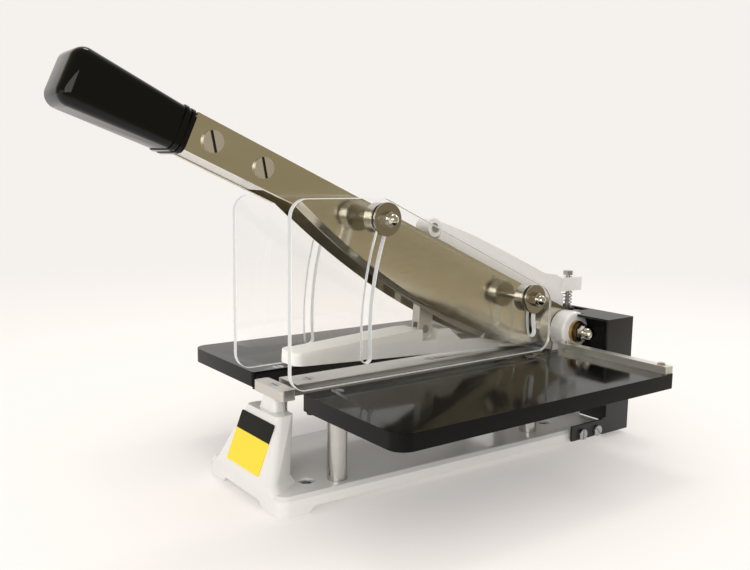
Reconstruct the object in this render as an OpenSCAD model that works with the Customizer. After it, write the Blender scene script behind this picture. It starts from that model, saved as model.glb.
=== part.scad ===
// Twin-knife strip cutter: two knives on one lever shear a strip on a central anvil.
// X runs across the cutter, +Y runs to the back, Z = 0 is the cutting plane on the tables.
// Distances called "back" are measured from the tables' front edge.

/* [Anvil and tables] */
// width of the strip that is cut, and of the anvil
anvil_w = 25.4; // [15:0.1:50]
// thickness of the anvil bar
anvil_t = 4; // [3:0.5:6]
// thickness of the beam that carries it
beam_t = 5; // [4:0.5:8]
// how far back the anvil starts
anvil_back = 9.6; // [8:0.2:20]
// length of the anvil's cutting face
anvil_len = 262; // [200:1:300]
// length of each table
table_len = 278.5; // [240:0.5:320]
// width of each table
table_w = 111.5; // [80:0.5:150]
// thickness of each table
table_t = 12; // [8:0.5:16]
// inner edge of a table from the middle plane
table_in = 36.8; // [34:0.2:50]
// radius of a table's outer front corner
table_corner = 12; // [4:0.5:20]
// radius of the tables' other corners
table_soft = 2.5; // [1:0.5:6]
// table screws and posts from the middle plane
post_x = 42.8; // [42:0.2:60]
// front posts, back from the front edge
post_front = 26; // [18:1:50]
// rear posts, back from the front edge
post_rear = 226; // [150:1:235]
// radius of a post
post_r = 7.5; // [5:0.1:9]

/* [Base] */
// cutting plane above the bench
stand_h = 80; // [70:1:120]
// thickness of the base plate
plate_t = 9.5; // [6:0.5:14]
// height of the cast feet under the plate
foot_h = 4.5; // [3:0.5:8]
// half width of the base at its front edge
base_front_x = 56; // [45:0.5:70]
// half width of the base at its back edge
base_rear_x = 66; // [50:0.5:66]
// front edge of the base, ahead of the tables
base_ahead = 29.3; // [22:0.1:45]
// back edge of the base, behind the pivot line
base_behind = 10; // [4:0.5:20]
// radius of the base's corners in plan
base_corner = 9; // [3:0.5:12]
// length of each foot
foot_len = 23; // [14:1:40]
// inner side of the feet from the middle plane
foot_in_x = 30.8; // [20:0.2:40]
// mounting holes from the middle plane
bench_hole_x = 34.5; // [28:0.5:44]
// front mounting holes, back from the front edge
bench_hole_front = 5; // [3:0.5:12]
// distance between the front and rear mounting holes
bench_hole_step = 250; // [200:1:252]
// radius of a mounting hole
bench_hole_r = 3.4; // [2:0.1:5]
// radius of the mounting holes' counterbores
bench_cbore_r = 6; // [5.5:0.1:8]
// depth of those counterbores
bench_cbore_t = 5; // [2:0.5:6]

/* [Lever] */
// pivot line, back from the tables' front edge
pivot_back = 295; // [285:0.5:300]
// pivot line above the cutting plane
pivot_up = 13.2; // [12:0.1:18]
// lever above closed, as drawn
lever_rest = 23.75; // [15:0.05:30]
// turn of the lever from drawn to closed
lever_travel = 23.4; // [15:0.1:30]
// thickness of a knife
knife_t = 4.8; // [3:0.1:6]
// clearance between a knife and the anvil
shear_gap = 0.2; // [0.1:0.05:0.4]
// top edge of the knives above the pivot line
knife_top = 18.9; // [15:0.1:24]
// bottom edge of the knives' bar below the pivot line
bar_drop = 7.5; // [5:0.1:10]
// where the cutting edge starts, from the pivot
edge_start = 312; // [290:1:330]
// where the edge's depth is stated, from the pivot
edge_mid = 200; // [160:1:230]
// depth of the edge there, below the pivot line
edge_mid_drop = 33.5; // [26:0.5:44]
// where the edge ends, from the pivot
edge_end = 96; // [80:1:130]
// depth of the edge at its end
edge_end_drop = 39; // [30:0.5:48]
// height of the ground bevel
bevel_h = 4.2; // [2:0.1:6]
// bar's end inside the grip, from the pivot
bar_end = 403.6; // [380:0.1:430]
// knife behind the pivot
knife_tail = 13.5; // [11:0.5:15]

/* [Grip] */
// grip's near end from the pivot
grip_start = 403.7; // [380:1:430]
// length of the grip
grip_len = 84; // [76:1:130]
// half width of the grip at its near end
grip_x0 = 19.2; // [18.6:0.1:24]
// half width of the grip at its far end
grip_x1 = 21; // [18:0.1:28]
// height of the grip at its near end
grip_h0 = 29; // [28:0.5:36]
// height of the grip at its far end
grip_h1 = 39; // [30:0.5:52]
// centre of the grip above the pivot line
grip_up = 4.2; // [0:0.1:8]
// knife screws from the pivot, near and far
knife_screw_u = [346.5, 387.6];
// radius of a knife screw's head
knife_screw_r = 7.4; // [5:0.1:9]

/* [Guards] */
// outer face of a guard from the middle plane
guard_x = 43; // [41:0.1:60]
// thickness of a guard
guard_t = 4.5; // [3:0.1:6]
// front edge of a guard ahead of the tables
guard_ahead = 13; // [5:0.1:20]
// back edge of a guard
guard_back = 249.6; // [240:0.1:255]
// gap between a raised guard and its table
guard_lift = 3.3; // [2:0.1:6]
// top edge of a guard
guard_top = 137.8; // [120:0.1:160]
// where the sloping edge starts
guard_knee_back = 67; // [50:0.5:90]
// low end of the sloping edge: back and up
guard_low = [236, 61.5];
// first stud: back and up
stud_a = [67.3, 122.1];
// second stud: back and up
stud_b = [227, 50];
// width of the guard slots
slot_w = 7.6; // [7:0.1:10]
// forward slide of a guard while the lever closes
guard_run = 8.94; // [4:0.1:12]
// drop of a guard while the lever closes
guard_sink = 2.85; // [1:0.1:5]
// radius of a stud
stud_r = 3.1; // [2:0.05:4]

/* [Hold-down] */
// turn of the hold-down from drawn to flat
hold_rest = 2.63; // [1:0.01:4]
// width of the presser bar
presser_w = 24; // [14:0.1:48]
// front end of the presser bar
presser_back = 8.6; // [5:0.1:20]
// height of the presser bar at its front
presser_h0 = 9.5; // [6:0.1:14]
// height of the presser bar at the link
presser_h1 = 20.5; // [14:0.1:26]
// upper pin of the link: back and up
link_top = [143, 111.4];
// lower pin of the link: back and up
link_low = [137.5, 27.2];
// width of the link
link_w = 14.7; // [10:0.1:18]
// half thickness of the link's channel
link_x = 4.4; // [3:0.1:6]
// half width of the arm
arm_x = 8.6; // [6:0.1:12]
// bolt of the stop spring, behind the pivot line
stop_behind = 25.5; // [21:0.5:29]

/* [Rear cover] */
// half width of the cover
cover_x = 68.6; // [68:0.1:90]
// front edge of the cover, behind the pivot line
cover_behind = 0.7; // [0.2:0.1:3]
// depth of the cover
cover_len = 36.5; // [36.5:0.1:50]
// top of the cover
cover_top = 28.9; // [26:0.1:40]
// bottom of the cover above the bench
cover_floor = 4.5; // [2:0.1:12]
// thickness of the cover's sheet
sheet_t = 2; // [1:0.1:3]

/* [Hidden] */
$fn = 64;
eps = 0.01;
// how far a cut or a joined body runs past a face
over = 1;
slot_past_angle = 1.2;
run_fit = 0.05;
loose = 0.3;
round_n = 10;
rim_n = 5;
slot_n = 16;
hex_n = 6;

// derived places
front_y = -table_len / 2;
bench_z = -stand_h;
plate_low = bench_z + foot_h;
plate_top = plate_low + plate_t;
pivot_y = front_y + pivot_back;
anvil_y0 = front_y + anvil_back;
anvil_y1 = anvil_y0 + anvil_len;
stop_y = pivot_y + stop_behind;
cover_y0 = pivot_y + cover_behind;
cover_y1 = cover_y0 + cover_len;
knife_in = anvil_w / 2 + shear_gap;
knife_out = knife_in + knife_t;
table_out = table_in + table_w;
base_y0 = front_y - base_ahead;
base_y1 = pivot_y + base_behind;
hold_low = pivot_up - loose;

// named small sizes
shaft_r = 6;
shaft_stud_r = 4.2;
hub_r = 17.8;
hub_soft = 2.4;
hub_gap = 0.6;
hub_x0 = knife_out + hub_gap;
hub_x1 = 29.4;
boss_r = 13;
boss_x1 = 33.6;
cheek_len = 24;
cheek_foot_len = 34;
tower_top = -47;
// anvil pillar's front, ahead of the anvil's end
pillar_len = 17.6;
pillar_step = 4;
beam_x = 11.5;
beam_z = -anvil_t - beam_t;
block_z1 = -1;
block_z0 = beam_z;
block_x = 20.9;
block_soft = 2.6;
block_back = [-7.8, 4.8];
neck_x = [9, 12];
neck_back = [[-7.5, 2], [-9.5, 2.4]];
pedestal_top = -19;
pedestal_soft = 5;
pedestal_back_soft = 4;
pedestal_mid = -61.5;
pedestal_front = [-13.1, -29.3];
pedestal_rear = [2.5, -4];
pedestal_x = [24, 45.5];
pedestal_rear_x = [22, 28];
foot_slope = 6;
ring_r = 9.9;
ring_t = 3;
washer_r = 8.6;
washer_t = 0.85;
washer_cone = 0.25;
washer_step = 1.2;
washer_count = 3;
nut_r = 7.5;
nut_t = 5.5;
dome_r = 5.8;
dome_len = 8.4;
dome_flat = 0.06;
cotter_r = 0.9;
arm_hub_r = 11.6;
arm_hub_x = 5.6;
arm_hub_room = 1.8;
lug_t = 12.6;
lug_low = 45.6;
stop_r = 1.9;
coil_r = 4.7;
wire_r = 0.62;
coil_turns = 4.5;
seat_r = 7.2;
seat_t = 2;
column_x = 10.5;
column_len = 15;
screw_r = 2.5;
csk_r = 4.8;
csk_t = 2.6;
slot_cut_w = 1.1;
slot_cut_t = 0.9;
peg_r = 2.6;
peg_u = 108;
peg_v = 11.4;

casting = [0.90, 0.90, 0.89];
black = [0.07, 0.07, 0.08];
steel = [0.70, 0.70, 0.67];
bright = [0.80, 0.80, 0.80];
clear = [0.86, 0.90, 0.90, 0.35];

function fy(back) = front_y + back;
// half section of a disc with a rounded far rim
function soft_rim(r, h, soft) = concat([[0, 0], [r, 0]],
  [for (i = [0 : rim_n]) [r - soft + soft * cos(90 * i / rim_n),
    h - soft + soft * sin(90 * i / rim_n)]], [[0, h]]);
function sq(v) = v[0] * v[0] + v[1] * v[1];
function turn_det(a, b, c) =
  2 * (a[0] * (b[1] - c[1]) + b[0] * (c[1] - a[1]) + c[0] * (a[1] - b[1]));
// centre of the circle through three points
function centre3(a, b, c) = [
  (sq(a) * (b[1] - c[1]) + sq(b) * (c[1] - a[1]) + sq(c) * (a[1] - b[1])) / turn_det(a, b, c),
  (sq(a) * (c[0] - b[0]) + sq(b) * (a[0] - c[0]) + sq(c) * (b[0] - a[0])) / turn_det(a, b, c)];
function dir2(a, b) = (b - a) / norm(b - a);
function heading(a, b) = atan2(b[1] - a[1], b[0] - a[0]);
// corner q of an outline, rounded by r between neighbours p and s
function soft_corner(p, q, s, r) =
  let (u = dir2(q, p), v = dir2(q, s), half = acos(u * v) / 2,
    c = q + (u + v) / norm(u + v) * r / sin(half),
    a0 = heading(c, q + u * r / tan(half)), a1 = heading(c, q + v * r / tan(half)),
    d = (a1 - a0 + 540) % 360 - 180)
  [for (i = [0 : round_n]) c + r * [cos(a0 + d * i / round_n), sin(a0 + d * i / round_n)]];
function soft_outline(pts, rs) = [for (i = [0 : len(pts) - 1])
  for (p = soft_corner(pts[(i + len(pts) - 1) % len(pts)], pts[i],
    pts[(i + 1) % len(pts)], rs[i])) p];

// a flat outline in (Y, Z), from x0 to x1
module along_x(x0, x1) {
  translate([x0, 0, 0])
    rotate([90, 0, 90])
      linear_extrude(x1 - x0) children();
}

// a round bar along X
module rod_x(x0, x1, r, at = [0, 0]) {
  translate([x0, at[0], at[1]])
    rotate([0, 90, 0])
      cylinder(h = x1 - x0, r = r);
}

// a round bar along Z
module rod_z(z0, z1, r, at = [0, 0]) {
  translate([at[0], at[1], z0])
    cylinder(h = z1 - z0, r = r);
}

module box(x0, x1, y0, y1, z0, z1) {
  translate([x0, y0, z0])
    cube([x1 - x0, y1 - y0, z1 - z0]);
}

// a box with round vertical corners
module soft_box(x0, x1, y0, y1, z0, z1, r) {
  translate([0, 0, z0])
    linear_extrude(z1 - z0)
      polygon(soft_outline([[x0, y0], [x1, y0], [x1, y1], [x0, y1]], [r, r, r, r]));
}

module both_sides() {
  children();
  mirror([1, 0, 0]) children();
}

// lever frame: Y = -(distance ahead of the pivot), Z = height above the pivot line
module lever_place() {
  translate([0, pivot_y, pivot_up])
    rotate([-lever_rest, 0, 0]) children();
}

// hold-down frame: the same, drawn with the presser bar flat
module hold_place() {
  translate([0, pivot_y, pivot_up])
    rotate([-hold_rest, 0, 0]) children();
}

// (back, up) of a stud, from the pivot line
function arm_of(s) = [s[0] - pivot_back, s[1] - pivot_up];
function turned(v, t) = [v[0] * cos(t) - v[1] * sin(t), v[0] * sin(t) + v[1] * cos(t)];
// a stud's place beside the moving guard, at a share of the lever's travel
function in_guard(s, share) = turned(arm_of(s), lever_travel * share) + [pivot_back, pivot_up]
  + share * [guard_run, guard_sink] + [front_y, 0];
// (back, up) of a point in the lever frame
function in_lever(s) = turned(arm_of(s), lever_rest);

function round_at(a) = [cos(a), sin(a)];
// outline of a slot of width w along the circle through three points
function slot_points(a, b, c, w) =
  let (m = centre3(a, b, c), r = norm(a - m), a0 = heading(m, a),
    sweep = (heading(m, c) - a0 + 540) % 360 - 180, k = sign(sweep))
  concat([for (i = [0 : slot_n]) m + (r + w / 2) * round_at(a0 + sweep * i / slot_n)],
    [for (i = [1 : slot_n - 1]) c + w / 2 * round_at(a0 + sweep + k * 180 * i / slot_n)],
    [for (i = [slot_n : -1 : 0]) m + (r - w / 2) * round_at(a0 + sweep * i / slot_n)],
    [for (i = [1 : slot_n - 1]) a + w / 2 * round_at(a0 + k * (180 + 180 * i / slot_n))]);

// a hexagon nut with a dome on its outer end, along +X from x0; the dome's tip is just flat
module acorn(x0, at, r, t, rd, len) {
  translate([x0, at[0], at[1]])
    rotate([0, 90, 0]) {
      cylinder(h = t, r = r, $fn = hex_n);
      rotate_extrude()
        intersection() {
          translate([0, t - eps]) square([rd, len - dome_flat]);
          union() {
            square([rd, t + len - rd]);
            translate([0, t + len - rd]) circle(r = rd);
          }
        }
    }
}

// a countersunk screw with its head flush at z, pointing down
module csk_screw(at, z, len) {
  difference() {
    union() {
      rod_z(z - len, z - csk_t, screw_r, at);
      translate([at[0], at[1], z - csk_t])
        cylinder(h = csk_t, r1 = screw_r, r2 = csk_r);
    }
    box(at[0] - csk_r, at[0] + csk_r, at[1] - slot_cut_w / 2, at[1] + slot_cut_w / 2,
      z - slot_cut_t, z + eps);
  }
}

// the hole for it
module csk_hole(at, z, len) {
  rod_z(z - len, z + eps, screw_r + run_fit, at);
  translate([at[0], at[1], z - csk_t - eps])
    cylinder(h = csk_t + 2 * eps, r1 = screw_r + run_fit, r2 = csk_r + run_fit);
}

post_spots = [for (sx = [-1, 1], b = [post_front, post_rear]) [sx * post_x, fy(b)]];
anvil_screw_first = 16.8;
anvil_screw_mid = 137;
anvil_screw_last = 16;
anvil_screw_at = [anvil_screw_first, anvil_screw_mid, anvil_len - anvil_screw_last];
anvil_spots = [for (b = anvil_screw_at) [0, fy(anvil_back + b)]];
cup_t = 3.4;
bench_spots = [for (sx = [-1, 1], b = [0, bench_hole_step])
  [sx * bench_hole_x, fy(bench_hole_front + b)]];

// outline of the base in plan, drawn in by d
function base_plan(d) = soft_outline(
  [[-base_front_x + d, base_y0 + d], [base_front_x - d, base_y0 + d],
   [base_rear_x - d, base_y1 - d], [-base_rear_x + d, base_y1 - d]],
  [for (i = [1 : 4]) base_corner - d / 2]);

module slab(pts, z, t) {
  translate([0, 0, z])
    linear_extrude(t) polygon(pts);
}

// outline of the pedestal at a level: front and rear edges, front and rear half widths
function pedestal_plan(f, b, xf, xb) = soft_outline(
  [[-xf, fy(f)], [xf, fy(f)], [xb, fy(b)], [-xb, fy(b)]],
  [pedestal_soft, pedestal_soft, pedestal_back_soft, pedestal_back_soft]);

module base_feet() {
  x_far = base_rear_x;
  intersection() {
    translate([0, base_y1 + over, bench_z])
      rotate([90, 0, 0])
        linear_extrude(base_y1 - base_y0 + 2 * over)
          both_sides()
            polygon([[foot_in_x, 0], [x_far, 0], [x_far, foot_h + over],
              [foot_in_x - foot_slope, foot_h + over]]);
    union() {
      along_x(-x_far, x_far)
        polygon([[base_y0, bench_z], [base_y0 + foot_len, bench_z],
          [base_y0 + foot_len + foot_slope, plate_low + over], [base_y0, plate_low + over]]);
      along_x(-x_far, x_far)
        polygon([[base_y1, bench_z], [base_y1 - foot_len, bench_z],
          [base_y1 - foot_len - foot_slope, plate_low + over], [base_y1, plate_low + over]]);
    }
    slab(base_plan(0), bench_z - over, stand_h);
  }
}

plate_edge = 2.5;

module base_casting() {
  color(casting)
    difference() {
      union() {
        hull() {
          slab(base_plan(0), plate_low, plate_t - plate_edge);
          slab(base_plan(plate_edge), plate_low, plate_t);
        }
        base_feet();
        hull() {
          slab(pedestal_plan(pedestal_front[1], pedestal_rear[1], pedestal_x[1],
            pedestal_rear_x[1]), pedestal_mid - over, over);
          slab(pedestal_plan(pedestal_front[0], pedestal_rear[0], pedestal_x[0],
            pedestal_rear_x[0]), pedestal_top - over, over);
        }
        hull() {
          slab(pedestal_plan(-base_ahead, pedestal_rear[1] + plate_edge,
            base_front_x - plate_edge, pedestal_rear_x[1] + 2 * plate_edge),
            plate_top - plate_edge, over);
          slab(pedestal_plan(pedestal_front[1], pedestal_rear[1], pedestal_x[1],
            pedestal_rear_x[1]), pedestal_mid - over, over);
        }
        hull() {
          slab(pedestal_plan(neck_back[0][0], neck_back[0][1], neck_x[0], neck_x[0]),
            beam_z - over, over);
          slab(pedestal_plan(neck_back[1][0], neck_back[1][1], neck_x[1], neck_x[1]),
            pedestal_top - over, over);
        }
        // rear tower: block, anvil pillar, cheeks, hubs and stop column
        box(-hub_x1, hub_x1, anvil_y1 - pillar_len + pillar_step, pivot_y + cheek_foot_len / 2,
          plate_low + over, tower_top);
        box(-beam_x, beam_x, anvil_y1 - pillar_len, anvil_y1, tower_top - over, beam_z);
        both_sides() {
          along_x(hub_x0, hub_x1)
            polygon([[pivot_y - cheek_foot_len / 2, tower_top - over],
              [pivot_y + cheek_foot_len / 2, tower_top - over],
              [pivot_y + cheek_len / 2, pivot_up], [pivot_y - cheek_len / 2, pivot_up]]);
          translate([hub_x0, pivot_y, pivot_up])
            rotate([0, 90, 0])
              rotate_extrude() polygon(soft_rim(hub_r, boss_x1 - hub_x0, hub_soft));
          for (p = cover_screw_spots)
            rod_x(base_front_x, cover_x - sheet_t - run_fit, cover_pad_r, p);
        }
        box(-column_x, column_x, pivot_y, stop_y + column_len / 2, plate_low + over, tower_top);
        box(-column_x, column_x, stop_y - column_len / 2, stop_y + column_len / 2,
          tower_top - over, seat_z);
      }
      rod_x(-boss_x1 - over, boss_x1 + over, shaft_r + run_fit, [pivot_y, pivot_up]);
      for (p = bench_spots) {
        rod_z(bench_z - over, plate_top + over, bench_hole_r, p);
        rod_z(plate_top - bench_cbore_t, plate_top + over, bench_cbore_r, p);
      }
      for (p = post_spots)
        rod_z(bench_z - over, plate_top + over, screw_r + run_fit, p);
      rod_z(block_z1 - end_screw_len - over, beam_z + over, screw_r + run_fit, end_spot);
      rod_z(seat_z - stop_hold, seat_z + over, stop_r + run_fit, [0, stop_y]);
      both_sides()
        for (p = cover_screw_spots)
          rod_x(cover_x - cover_screw_len, cover_x, cover_screw_r + run_fit, p);
    }
}

seat_z = 26.5;
stop_hold = 16;
end_spot = [0, fy(-1.5)];
end_screw_len = 16;
cover_screw_ahead = [27.7, 7.7];
cover_screw_z = -70.3;
cover_screw_spots = [for (d = cover_screw_ahead) [cover_y0 - d, cover_screw_z]];
cover_screw_r = 2;
cover_screw_len = 12;
cover_head_r = 4.8;
cover_head_t = 2.2;
cover_pad_r = 4.4;
cover_slot_angles = [0, 44];

mount_head_t = 3;
mount_hold = 9;
table_hold = 12;

// screws that hold the posts from under the plate
module mount_screws() {
  color(steel)
    for (p = post_spots) {
      rod_z(plate_low - mount_head_t, plate_low, csk_r, p);
      rod_z(plate_low - eps, plate_top + mount_hold, screw_r, p);
    }
}

module table_posts() {
  color(bright)
    for (p = post_spots)
      difference() {
        rod_z(plate_top, -table_t, post_r, p);
        rod_z(plate_top - over, plate_top + mount_hold + over, screw_r + run_fit, p);
        rod_z(-table_t - table_hold - over, -table_t + over, screw_r + run_fit, p);
      }
}

// one table on the +X side
module table_shape() {
  difference() {
    translate([0, 0, -table_t])
      linear_extrude(table_t)
        polygon(soft_outline(
          [[table_in, front_y], [table_out, front_y], [table_out, -front_y], [table_in, -front_y]],
          [table_soft, table_corner, table_soft, table_soft]));
    for (b = [post_front, post_rear])
      csk_hole([post_x, fy(b)], 0, table_t + over);
  }
}

module right_table() {
  color(black)
    difference() {
      table_shape();
      for (p = fence_spots)
        rod_z(-fence_screw_hold, over, fence_screw_r + run_fit, p);
    }
}

module left_table() {
  color(black)
    mirror([1, 0, 0]) table_shape();
}

module table_screws() {
  color(steel)
    for (p = post_spots)
      csk_screw(p, 0, table_t + table_hold);
}

pad_r = 3.4;
pad_t = 2.6;
pad_spot = [40.6, fy(5.4)];

// small rubber stops under the tables' front corners
module table_pads() {
  color(black)
    both_sides()
      rod_z(-table_t - pad_t, -table_t, pad_r, pad_spot);
}

fence_x = [35.2, 147.2];
fence_depth = 9;
fence_h = 6;
fence_inset = 4;
fence_screw_r = 1.5;
fence_screw_hold = 8;
fence_head_r = 3.6;
fence_head_t = 2.2;
fence_screw_in = [8.1, 7.9];
fence_soft = 1;
fence_head_share = 0.6;
fence_spots = [for (x = [fence_x[0] + fence_screw_in[0], fence_x[1] - fence_screw_in[1]])
  [x, -front_y - fence_depth / 2]];

module fence_bar() {
  color(bright)
    difference() {
      soft_box(fence_x[0], fence_x[1], -front_y - fence_depth, -front_y, 0, fence_h,
        fence_soft);
      for (p = fence_spots)
        rod_z(-over, fence_h + over, fence_screw_r + run_fit, p);
    }
}

module fence_screws() {
  color(bright)
    for (p = fence_spots) {
      rod_z(-fence_screw_hold + over, fence_h + eps, fence_screw_r, p);
      translate([p[0], p[1], fence_h])
        cylinder(h = fence_head_t, r1 = fence_head_r, r2 = fence_head_r * fence_head_share);
    }
}

module anvil_beam() {
  color(steel)
    difference() {
      union() {
        box(-beam_x, beam_x, fy(neck_back[0][0]) + loose, anvil_y0 + over, beam_z, -anvil_t);
        box(-beam_x, beam_x, anvil_y0, anvil_y1, beam_z, -anvil_t);
      }
      rod_z(beam_z - over, 0, screw_r + run_fit, end_spot);
      for (p = anvil_spots)
        rod_z(beam_z - over, 0, screw_r + run_fit, p);
    }
}

module anvil_bar() {
  color(steel)
    difference() {
      box(-anvil_w / 2, anvil_w / 2, anvil_y0, anvil_y1, -anvil_t, 0);
      for (p = anvil_spots)
        csk_hole(p, 0, anvil_t + over);
    }
}

// steel cups that the bench screws sit in
module bench_cups() {
  color(steel)
    for (p = bench_spots)
      difference() {
        rod_z(plate_top - bench_cbore_t, plate_top - bench_cbore_t + cup_t,
          bench_cbore_r - run_fit, p);
        rod_z(plate_low, plate_top, bench_hole_r, p);
      }
}

module anvil_screws() {
  color(steel)
    for (p = anvil_spots)
      csk_screw(p, 0, anvil_t + beam_t - over);
}

module end_block() {
  color(bright)
    difference() {
      soft_box(-block_x, block_x, fy(block_back[0]), fy(block_back[1]), block_z0, block_z1,
        block_soft);
      box(-beam_x - run_fit, beam_x + run_fit, fy(neck_back[0][0]), fy(block_back[1]) + over,
        block_z0 - over, run_fit - anvil_t);
      csk_hole(end_spot, block_z1, end_screw_len);
    }
}

module end_block_screw() {
  color(steel)
    csk_screw(end_spot, block_z1, end_screw_len);
}

label_w = 49;
label_h = 38;
label_t = 0.6;
label_soft = 1.5;
label_low = 1.5;

// plain two-colour plate on the pedestal's sloping front
module label_plate() {
  slope = atan2(pedestal_front[0] - pedestal_front[1], pedestal_top - pedestal_mid);
  mid_z = (pedestal_top + pedestal_mid) / 2;
  color([0.95, 0.85, 0.2])
    translate([0, fy((pedestal_front[0] + pedestal_front[1]) / 2), mid_z])
      rotate([90 - slope, 0, 0])
        translate([0, -label_h / 2 - label_low, 0])
          linear_extrude(label_t)
            polygon(soft_outline([[-label_w / 2, 0], [label_w / 2, 0], [label_w / 2, label_h],
              [-label_w / 2, label_h]], [for (i = [1 : 4]) label_soft]));
}

cover_z0 = bench_z + cover_floor;
cover_notch_x = 21;
cover_soft = 1.2;
cover_lap = 4;
cover_tab_len = 40.9;
cover_tab_z = [-74.8, -61.5];
cover_cut = [-60, -49];

module rear_cover() {
  color(black)
    difference() {
      union() {
        soft_box(-cover_x, cover_x, cover_y0, cover_y1, cover_z0, cover_top,
          cover_soft);
        both_sides()
          box(cover_x - sheet_t, cover_x, cover_y0 - cover_tab_len, cover_y0 + cover_lap,
            cover_tab_z[0], cover_tab_z[1]);
      }
      box(-cover_x + sheet_t, cover_x - sheet_t, cover_y0 - over, cover_y1 - sheet_t,
        cover_z0 - over, cover_top - sheet_t);
      box(-cover_notch_x, cover_notch_x, cover_y0 - over, cover_y1 - 2 * sheet_t,
        cover_top - sheet_t - over, cover_top + over);
      both_sides() {
        rod_x(hub_x0 - loose, boss_x1 + 2 * loose, hub_r + 2 * loose, pin_at);
        box(cover_x - sheet_t - over, cover_x + over, cover_y0 - over, cover_y0 + cover_lap,
          cover_cut[0], cover_cut[1]);
        for (p = cover_screw_spots)
          rod_x(cover_x - sheet_t - over, cover_x + over, cover_screw_r + run_fit, p);
      }
    }
}

module cover_screws() {
  color(steel)
    both_sides()
      for (i = [0 : len(cover_screw_spots) - 1])
        translate([cover_x, cover_screw_spots[i][0], cover_screw_spots[i][1]])
          rotate([cover_slot_angles[i], 0, 0])
            difference() {
              union() {
                rod_x(over - cover_screw_len, eps, cover_screw_r);
                rod_x(0, cover_head_t, cover_head_r);
              }
              box(cover_head_t - slot_cut_t, cover_head_t + over, -slot_cut_w / 2,
                slot_cut_w / 2, -cover_head_r, cover_head_r);
            }
}

pin_at = [pivot_y, pivot_up];
shaft_end = 50;
nut_x = boss_x1 + ring_t + washer_count * washer_step + washer_cone;
cotter_in = 0.6;
cotter_x = nut_x + nut_t + cotter_r + cotter_in;
cotter_len = [7, 11];

// shaft, turned down at both ends for the washers and nuts
module pivot_shaft() {
  color(steel)
    difference() {
      union() {
        rod_x(-boss_x1 - ring_t, boss_x1 + ring_t, shaft_r, pin_at);
        rod_x(-shaft_end, shaft_end, shaft_stud_r, pin_at);
      }
      both_sides() cotter_hole();
    }
}

module cotter_hole() {
  translate([cotter_x, pivot_y, pivot_up])
    rotate([90, 0, 0])
      cylinder(h = 4 * cotter_len[1], r = cotter_r + 2 * run_fit, center = true);
}

// thin collars between the knives and the hubs
module spacer_collars() {
  color(steel)
    both_sides()
      difference() {
        rod_x(knife_out + run_fit, hub_x0 - run_fit, boss_r, pin_at);
        rod_x(knife_out - over, hub_x0 + over, shaft_r + run_fit, pin_at);
      }
}

module brass_rings() {
  color([0.75, 0.6, 0.3])
    both_sides()
      difference() {
        rod_x(boss_x1, boss_x1 + ring_t, ring_r, pin_at);
        rod_x(boss_x1 - over, boss_x1 + ring_t + over, shaft_r + run_fit, pin_at);
      }
}

// a stack of coned washers that keeps the knives pressed together
module spring_washers() {
  color(steel)
    both_sides()
      for (i = [0 : washer_count - 1])
        translate([boss_x1 + ring_t + i * washer_step, pivot_y, pivot_up])
          rotate([0, 90, 0])
            rotate_extrude()
              polygon([[shaft_stud_r + run_fit, washer_cone], [washer_r, 0],
                [washer_r, washer_t], [shaft_stud_r + run_fit, washer_t + washer_cone]]);
}

module tension_nuts() {
  color(bright)
    both_sides()
      difference() {
        acorn(nut_x, pin_at, nut_r, nut_t, dome_r, dome_len);
        rod_x(nut_x - over, shaft_end + loose, shaft_stud_r + 2 * run_fit, pin_at);
        cotter_hole();
      }
}

module cotter_pins() {
  color(steel)
    both_sides()
      translate([cotter_x, pivot_y - cotter_len[0], pivot_up])
        rotate([-90, 0, 0])
          cylinder(h = cotter_len[0] + cotter_len[1], r = cotter_r);
}

stop_top = 60;
stop_head_t = 4;
stop_head_r = 4.9;

// fixed bolt that guides the arm's spring and limits the hold-down
module stop_bolt() {
  color(steel) {
    rod_z(seat_z - stop_hold + over, stop_top + eps, stop_r, [0, stop_y]);
    translate([0, stop_y, stop_top])
      cylinder(h = stop_head_t, r = stop_head_r, $fn = hex_n);
  }
}

module spring_seat() {
  color(black)
    difference() {
      rod_z(seat_z, seat_z + seat_t, seat_r, [0, stop_y]);
      rod_z(seat_z - over, seat_z + seat_t + over, stop_r + loose, [0, stop_y]);
    }
}

// one unbroken wound wire with straight ends, from z0 to z1
rings_per_turn = 8;
wire_sides = 6;
function coil_points(r, z0, z1, lead, turns) =
  let (n = ceil(turns * rings_per_turn), rise = z1 - z0 - 2 * lead)
  concat([[r, 0, z0]],
    [for (i = [0 : n]) [r * cos(turns * 360 * i / n), r * sin(turns * 360 * i / n),
      z0 + lead + rise * i / n]],
    [[r * cos(turns * 360), r * sin(turns * 360), z1]]);
function unit(v) = v / norm(v);
function wire_axis(p, i) = i == 0 || i == len(p) - 1 ? [0, 0, 1]
  : unit(unit(p[i + 1] - p[i]) + unit(p[i] - p[i - 1]));
function wire_ring(p, i, w) =
  let (t = wire_axis(p, i), out = unit([p[i][0], p[i][1], 0]),
    u = unit(out - (out * t) * t), v = cross(t, u))
  [for (k = [0 : wire_sides - 1])
    p[i] + w * (cos(360 * k / wire_sides) * u + sin(360 * k / wire_sides) * v)];

module wound_wire(p, w) {
  n = len(p);
  s = wire_sides;
  pts = concat([for (i = [0 : n - 1]) for (q = wire_ring(p, i, w)) q], [p[0], p[n - 1]]);
  side = [for (i = [0 : n - 2], k = [0 : s - 1], h = [0, 1])
    h == 0 ? [i * s + k, (i + 1) * s + k, i * s + (k + 1) % s]
      : [i * s + (k + 1) % s, (i + 1) * s + k, (i + 1) * s + (k + 1) % s]];
  low = [for (k = [0 : s - 1]) [n * s, k, (k + 1) % s]];
  high = [for (k = [0 : s - 1]) [n * s + 1, (n - 1) * s + (k + 1) % s, (n - 1) * s + k]];
  polyhedron(points = pts, faces = concat(side, low, high));
}

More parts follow.
